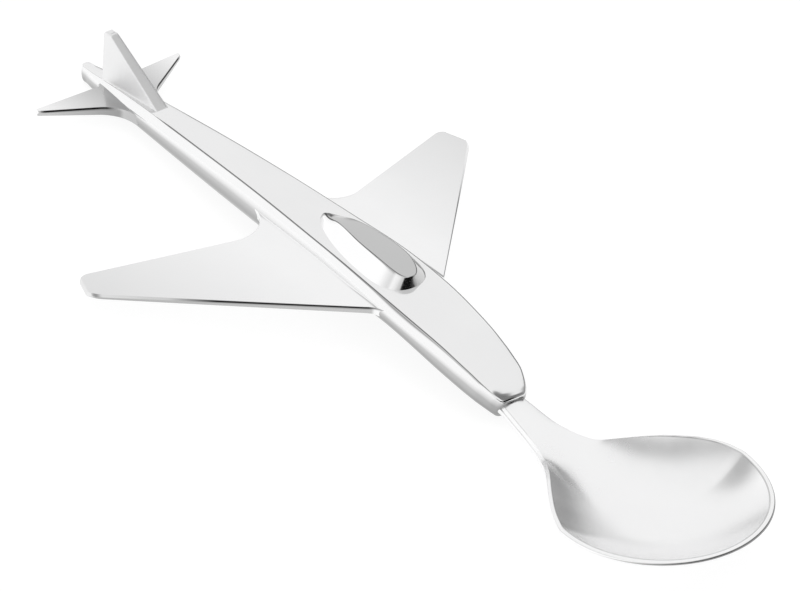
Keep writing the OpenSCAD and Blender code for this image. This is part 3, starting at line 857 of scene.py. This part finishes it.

# %% [markdown]
# ## Silver plate
# Polished silver is a mirror that is never perfect: a hand polish leaves hairlines along the strokes,
# soft clouds where it is a little duller, and long shallow waves. Some sides are also painted darker,
# as shade. One node group gives all of these, and each finish places it with its own values.

# %% The polish and the painted shade as a node group
WAVE_SCALE = 160
DOWN, AHEAD = (0, 0, -1), (1, 0, 0)
EVERY_SLOPE = -2.0
polish, entry, leave = new_group(
    "polish_and_painted_shade",
    {"Hairlines": (300, 2600, 2600), "Painted shade way": DOWN},
    {"Clouds": 90, "Dullness": 0.05, "Painted shade from": 0.1, "Painted shade to": 0.5, "Painted shade above": EVERY_SLOPE,
     "Span from": 0.0, "Span to": 0.01},
    ("Roughness", "Tone", "Height", "Painted shade side", "Painted edge reflection", "Painted span shade"))
spot = polish.nodes.new("ShaderNodeTexCoord").outputs["Object"]
hair = noise(polish, vectors(polish, "MULTIPLY", spot, entry["Hairlines"], "Vector"), 1.0, 3.0)
cloud = noise(polish, spot, entry["Clouds"], 4.0)
wave = noise(polish, spot, WAVE_SCALE, 1.0)
mixed = sums(polish, "ADD", sums(polish, "MULTIPLY", hair, 0.6), sums(polish, "MULTIPLY", cloud, 1.4))
uneven = sums(polish, "ADD", sums(polish, "MULTIPLY", mixed, 0.3), 0.7)
feed(polish, sums(polish, "MULTIPLY", uneven, entry["Dullness"]), leave["Roughness"])
feed(polish, sums(polish, "MULTIPLY", mixed, 0.5), leave["Tone"])
feed(polish, sums(polish, "ADD", sums(polish, "MULTIPLY", hair, 0.06), wave), leave["Height"])
print("hairlines, clouds and waves:", len(polish.nodes), "nodes")

# %% [markdown]
# Three masks of painted shade come from where a face is and how it lies. One is a side painted darker,
# as shade. The roll of a crisp edge lies between the flat top and the wall, and there a fine dark line is
# painted, as a dark reflection. Places along the span give painted shade from the root of a wing to its
# tip.

# %% Painted shade side, painted edge reflection and painted span shade
BODY_STRIP = 0.0013
ROLL_START, ROLL_END, ROLL_SLOPE = (0.18, 0.28), (0.44, 0.56), (0.70, 0.82)
facing = polish.nodes.new("ShaderNodeNewGeometry").outputs["Normal"]
_, face_y, face_z = parts(polish, facing)
# Painted shade: faces turned towards the given way, and looking up more than the given slope, are darkened.
toward = vectors(polish, "DOT_PRODUCT", facing, entry["Painted shade way"], "Value")
shaded_flank = step(polish, toward, entry["Painted shade from"], entry["Painted shade to"])
looks_up = sums(polish, "GREATER_THAN", face_z, entry["Painted shade above"])
feed(polish, sums(polish, "MULTIPLY", shaded_flank, looks_up), leave["Painted shade side"])
# Painted reflection: a fine dark line on the roll of a crisp edge, between the flat top and the wall.
sideways = sums(polish, "ABSOLUTE", face_y)
starts, ends = step(polish, sideways, *ROLL_START), step(polish, sideways, *ROLL_END, falling=True)
roll = sums(polish, "MULTIPLY", starts, ends)
feed(polish, sums(polish, "MULTIPLY", roll, step(polish, face_z, *ROLL_SLOPE)), leave["Painted edge reflection"])
# Painted shade along the span of a plate, left out in a thin strip down the middle.
_, spot_y, _ = parts(polish, spot)
from_middle = sums(polish, "ABSOLUTE", spot_y)
painted_span_shade = step(polish, from_middle, entry["Span from"], entry["Span to"], ease="LINEAR")
off_strip = sums(polish, "GREATER_THAN", from_middle, BODY_STRIP)
feed(polish, sums(polish, "MULTIPLY", painted_span_shade, off_strip), leave["Painted span shade"])
print("polish_and_painted_shade group:", len(polish.nodes), "nodes")

# %% [markdown]
# The finishes differ in the direction of the polishing strokes: along the body and the neck, across the
# wings, and all ways round in the bowl. The colour moves a little between a bright and a greyer silver.

# %% A silver finish
RELIEF = 0.00002


def silver(name, bright, grey, strokes, clouds, dullness, bump, painted_shade, painted_edge_tone=1, span=(0, 1, 1),
           above=EVERY_SLOPE, painted_line_tone=1):
    """A finish. The tuple after bump gives the way, start, end and tone of the side painted darker, as
    shade;
    span is the start, the end and the tone of the shade painted along it. The edge and line tones darken
    fine lines painted as dark reflections. A tone of 1 leaves that mask out."""
    finish = bpy.data.materials.new(name)
    finish.use_nodes = True
    tree = finish.node_tree
    shader = tree.nodes["Principled BSDF"].inputs
    shader["Metallic"].default_value = 1.0
    marks = tree.nodes.new("ShaderNodeGroup")
    marks.node_tree = polish
    settings = {"Hairlines": strokes, "Clouds": clouds, "Dullness": dullness, "Painted shade way": painted_shade[0],
                "Painted shade from": painted_shade[1], "Painted shade to": painted_shade[2], "Painted shade above": above,
                "Span from": span[0], "Span to": span[1]}
    for socket, value in settings.items():
        marks.inputs[socket].default_value = value
    # The strength of the dark lines painted as reflections is read from the mesh.
    line = tree.nodes.new("ShaderNodeAttribute")
    line.attribute_name = "line"
    colour = tinted(tree, bright, marks.outputs["Tone"], grey)
    # Painted shade: the side turned towards the given way is darkened.
    colour = tinted(tree, colour, marks.outputs["Painted shade side"], (painted_shade[3],) * 3)
    # Painted reflections and painted shade: dark lines on edges and chamfers, and shade along the span.
    masks = ((marks.outputs["Painted edge reflection"], painted_edge_tone), (marks.outputs["Painted span shade"], span[2]),
             (line.outputs["Fac"], painted_line_tone))
    for mask, tone in masks:
        if tone < 1:
            colour = tinted(tree, colour, mask, (tone,) * 3, "MULTIPLY")
    relief = tree.nodes.new("ShaderNodeBump")
    relief.inputs["Strength"].default_value = bump
    relief.inputs["Distance"].default_value = RELIEF
    feed(tree, marks.outputs["Height"], relief.inputs["Height"])
    feed(tree, colour, shader["Base Color"])
    feed(tree, marks.outputs["Roughness"], shader["Roughness"])
    feed(tree, relief.outputs["Normal"], shader["Normal"])
    return finish


print("relief of the polish:", RELIEF, "m")

# %% Finishes
# Painted shade and painted reflections in the finishes: the tuple after bump darkens the sides and belly of
# the body, the front faces of wings, tailplanes and fin, the canopy's faces turned forward, right and up,
# the inner rear-left wall of the bowl and the solder's underside; edge tones paint dark lines along crisp
# edges; span paints shade towards the wing tips and at the tailplane roots; line tones paint the marked
# lines.
FINISHES = {
    "silver_body": dict(
        bright=(0.92, 0.92, 0.92), grey=(0.86, 0.86, 0.865), strokes=(120, 2400, 2400), clouds=110,
        dullness=0.11, bump=0.4, painted_shade=(DOWN, -0.45, 0.34, 0.34), painted_edge_tone=0.18),
    "silver_wing": dict(
        bright=(0.99, 0.99, 0.99), grey=(0.93, 0.93, 0.935), strokes=(2200, 160, 2200), clouds=90,
        dullness=0.11, bump=0.4, painted_shade=(AHEAD, 0.40, 0.56, 0.54), span=(0.010, 0.034, 0.82),
        painted_line_tone=0.03),
    "silver_canopy": dict(
        bright=(0.97, 0.97, 0.97), grey=(0.92, 0.92, 0.925), strokes=(150, 2400, 2400), clouds=120,
        dullness=0.11, bump=0.4, painted_shade=((0.45, 0.35, 0.82), 0.42, 0.58, 0.58), painted_edge_tone=0.08,
        painted_line_tone=0.08),
    "silver_tail": dict(
        bright=(0.99, 0.99, 0.99), grey=(0.93, 0.93, 0.935), strokes=(2200, 200, 2200), clouds=120,
        dullness=0.14, bump=0.4, painted_shade=(AHEAD, 0.36, 0.52, 0.56), span=(0.0112, 0.002, 0.54),
        painted_line_tone=0.03),
    "silver_fin": dict(
        bright=(0.90, 0.90, 0.90), grey=(0.85, 0.85, 0.855), strokes=(2200, 200, 2200), clouds=120,
        dullness=0.42, bump=0.2, painted_shade=(AHEAD, 0.36, 0.52, 0.56)),
    "silver_bowl": dict(
        bright=(0.98, 0.98, 0.98), grey=(0.94, 0.94, 0.945), strokes=(700, 900, 700), clouds=80,
        dullness=0.26, bump=0.08, painted_shade=((0.8, 0.55, -0.6), -0.40, 0.16, 0.30), above=0.0, painted_line_tone=0.5),
    "solder": dict(
        bright=(0.70, 0.70, 0.69), grey=(0.55, 0.55, 0.54), strokes=(1800, 1800, 1800), clouds=300,
        dullness=0.40, bump=1.0, painted_shade=(DOWN, 0.0, 0.5, 0.5)),
}
finishes = {name: silver(name, **values) for name, values in FINISHES.items()}
print("finishes:", ", ".join(finishes))

# %% [markdown]
# Each skin takes the place of its CAD node. The fin was polished less than the tailplanes, so it has a
# finish of its own in their slot. The solder is hidden in the nose and keeps its CAD solid.

# %% Pieces, nodes and finishes
pieces = [
    (fuselage, "fuselage", "silver_body"),
    (left_wing, "left_wing", "silver_wing"),
    (right_wing, "right_wing", "silver_wing"),
    (canopy, "canopy", "silver_canopy"),
    (fin, "tail_fin", "silver_tail"),
    (left_tailplane, "left_tailplane", "silver_tail"),
    (right_tailplane, "right_tailplane", "silver_tail"),
    (spoon_head, "spoon_head", "silver_bowl"),
]
for piece, node, finish in pieces:
    piece.data.materials.clear()
    piece.data.materials.append(finishes["silver_fin" if piece == fin else finish])
    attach(piece, "root")
    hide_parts(node)
solder = frame["nodes"]["tang_solder"]
solder.data.materials.clear()
solder.data.materials.append(finishes["solder"])
print("pieces with a finish:", len(pieces) + 1)

# %% [markdown]
# ## The studio
# A mirror shows its surroundings, so the surroundings are most of the picture. The spoon lies in a white
# light tent. The tent is darker low down at the back and at the right, it has a seam between its left wall
# and its roof, and low in front the dark edge of the table shows, which gives the black accent on the
# front of the canopy. The tent is the world's colour by direction, built from soft panels.

# %% A soft panel as a node group
TO_DEGREES = 180 / pi
PANEL_SIZES = ("Azimuth", "Half width", "Side softness", "Elevation", "Half height", "Softness", "Level")
panel, given, result = new_group(
    "soft_panel", {"Direction": (0, 0, 0)}, dict.fromkeys(PANEL_SIZES + ("Behind",), 0.0), ("Light",))
swing = panel.nodes.new("ShaderNodeVectorRotate")
swing.rotation_type = "Z_AXIS"
feed(panel, given["Direction"], swing.inputs["Vector"])
feed(panel, sums(panel, "MULTIPLY", given["Azimuth"], -1 / TO_DEGREES), swing.inputs["Angle"])
ahead, aside, above = parts(panel, swing.outputs[0])
turn = sums(panel, "ABSOLUTE", sums(panel, "ARCTAN2", aside, ahead))
turn = sums(panel, "MULTIPLY", turn, TO_DEGREES)
rise = sums(panel, "MULTIPLY", sums(panel, "ARCSINE", above), TO_DEGREES)
rise = sums(panel, "ABSOLUTE", sums(panel, "SUBTRACT", rise, given["Elevation"]))


def inside(angle, half, softness):
    """1 within the panel's half width or half height, falling to 0 over its soft edge."""
    return step(panel, angle, given[half], sums(panel, "ADD", given[half], given[softness]), falling=True)


wide, high = inside(turn, "Half width", "Side softness"), inside(rise, "Half height", "Softness")
blend = panel.nodes.new("ShaderNodeMix")
feed(panel, sums(panel, "MULTIPLY", wide, high), blend.inputs[0])
feed(panel, given["Behind"], blend.inputs[NUMBER_A])
feed(panel, given["Level"], blend.inputs[NUMBER_B])
feed(panel, blend.outputs[0], result["Light"])
print("soft_panel group:", len(panel.nodes), "nodes")

# %% [markdown]
# Directions are given in degrees in the spoon's level frame: azimuth from the bowl's tip towards the right
# wing, and elevation above the level. Each panel lies over the ones before it.

# %% Panels of the tent: azimuth, half width, side softness, elevation, half height, softness, level
TENT_LEVEL = 0.93
PANELS = [
    ("left_seam", -122, 36, 15, 40, 4, 13, 0.36),
    ("white_left", -110, 50, 20, 10, 20, 10, 1.06),
    ("low_back", 128, 12, 9, 3, 8, 9, 0.32),
    ("right_front", 68, 42, 8, 18, 16, 8, 0.35),
    ("front_slot", 33, 9, 5, 38, 20, 5, 0.2),
    ("table_edge", 0, 30, 4, 8, 14, 3, 0.01),
]
world = bpy.data.worlds.new("light_tent")
bpy.context.scene.world = world
world.use_nodes = True
tent = world.node_tree
level = tent.nodes.new("ShaderNodeVectorRotate")
level.rotation_type = "Y_AXIS"
level.inputs["Angle"].default_value = REST_PITCH
feed(tent, tent.nodes.new("ShaderNodeTexCoord").outputs["Generated"], level.inputs["Vector"])
light = TENT_LEVEL
for name, *values in PANELS:
    node = tent.nodes.new("ShaderNodeGroup")
    node.node_tree, node.name = panel, name
    feed(tent, level.outputs[0], node.inputs["Direction"])
    for socket, value in zip(PANEL_SIZES, values):
        node.inputs[socket].default_value = value
    feed(tent, light, node.inputs["Behind"])
    light = node.outputs["Light"]
backdrop = tent.nodes["Background"].inputs
feed(tent, light, backdrop["Color"])
backdrop["Strength"].default_value = 1.0
print("tent panels:", len(PANELS))

# %% [markdown]
# A broad soft lamp overhead gives the faint shadow under the spoon. The floor is plain paper, and the
# rays of the camera and of mirrors get a glow from it, so that it reads as a white page.

# %% Floor and lamp
FLOOR_SIZE, FLOOR_GAP = 4, 0.00002
PAPER_GREY, PAPER_ROUGHNESS, PAPER_GLOW = 0.17, 0.9, 0.88
LAMP_PLACE, LAMP_SIZE, LAMP_POWER = Vector((-0.1, 0.1, 0.9)), 0.7, 1.0


def placed(name, data):
    thing = bpy.data.objects.new(name, data)
    bpy.context.collection.objects.link(thing)
    return thing


clear_selection()
bpy.ops.mesh.primitive_plane_add(size=FLOOR_SIZE, location=(0, 0, -FLOOR_GAP))
floor = bpy.context.object
floor.name = "floor"
paper = bpy.data.materials.new("white_paper")
paper.use_nodes = True
sheet = paper.node_tree
page = sheet.nodes["Principled BSDF"].inputs
page["Base Color"].default_value = (PAPER_GREY, PAPER_GREY, PAPER_GREY, 1)
page["Roughness"].default_value = PAPER_ROUGHNESS
page["Emission Color"].default_value = (1, 1, 1, 1)
rays = sheet.nodes.new("ShaderNodeLightPath").outputs
seen = sums(sheet, "MAXIMUM", rays["Is Camera Ray"], rays["Is Glossy Ray"])
feed(sheet, sums(sheet, "MULTIPLY", seen, PAPER_GLOW), page["Emission Strength"])
floor.data.materials.append(paper)
lamp_data = bpy.data.lights.new("overhead_softbox", "AREA")
lamp_data.shape, lamp_data.size, lamp_data.energy = "DISK", LAMP_SIZE, LAMP_POWER
lamp = placed("overhead_softbox", lamp_data)
lamp.location = LAMP_PLACE
lamp.visible_glossy = False
lamp.rotation_euler = Vector((0, 0, 1)).rotation_difference(LAMP_PLACE.normalized()).to_euler()
print("floor and lamp ready")

# %% [markdown]
# ## The camera
# The photo was taken with a long lens from the front left, about thirty degrees above the spoon. The
# camera stands a few metres off with a long lens, so that parallel edges stay nearly parallel.

# %% Camera
AZIMUTH, ELEVATION = radians(52.9277), radians(32.5561)
AIM = (73.8426, 0.0673, 2.5087)
PIXELS_PER_MM = 7.1837
PICTURE_WIDTH = 800
DISTANCE = 3.6
SENSOR = 36
back = Vector((sin(AZIMUTH) * cos(ELEVATION), -cos(AZIMUTH) * cos(ELEVATION), sin(ELEVATION)))
right = Vector((cos(AZIMUTH), sin(AZIMUTH), 0))
up = back.cross(right)
axes = Matrix([turned(right), turned(up), turned(back)]).transposed()
camera_data = bpy.data.cameras.new("camera")
camera_data.sensor_fit, camera_data.sensor_width = "HORIZONTAL", SENSOR
camera_data.lens = SENSOR * DISTANCE / (PICTURE_WIDTH / PIXELS_PER_MM / MM_PER_M)
camera_data.clip_start, camera_data.clip_end = 0.1, 200
camera = placed("camera", camera_data)
camera.matrix_world = Matrix.Translation(on_table(AIM) + turned(back) * DISTANCE) @ axes.to_4x4()
bpy.context.scene.camera = camera
bpy.context.scene.view_settings.view_transform = "Standard"
print("lens", round(camera_data.lens), "mm")

# %% [markdown]
# ## Last update
# The view layer is brought up to date.

# %% Update the view layer
bpy.context.view_layer.update()
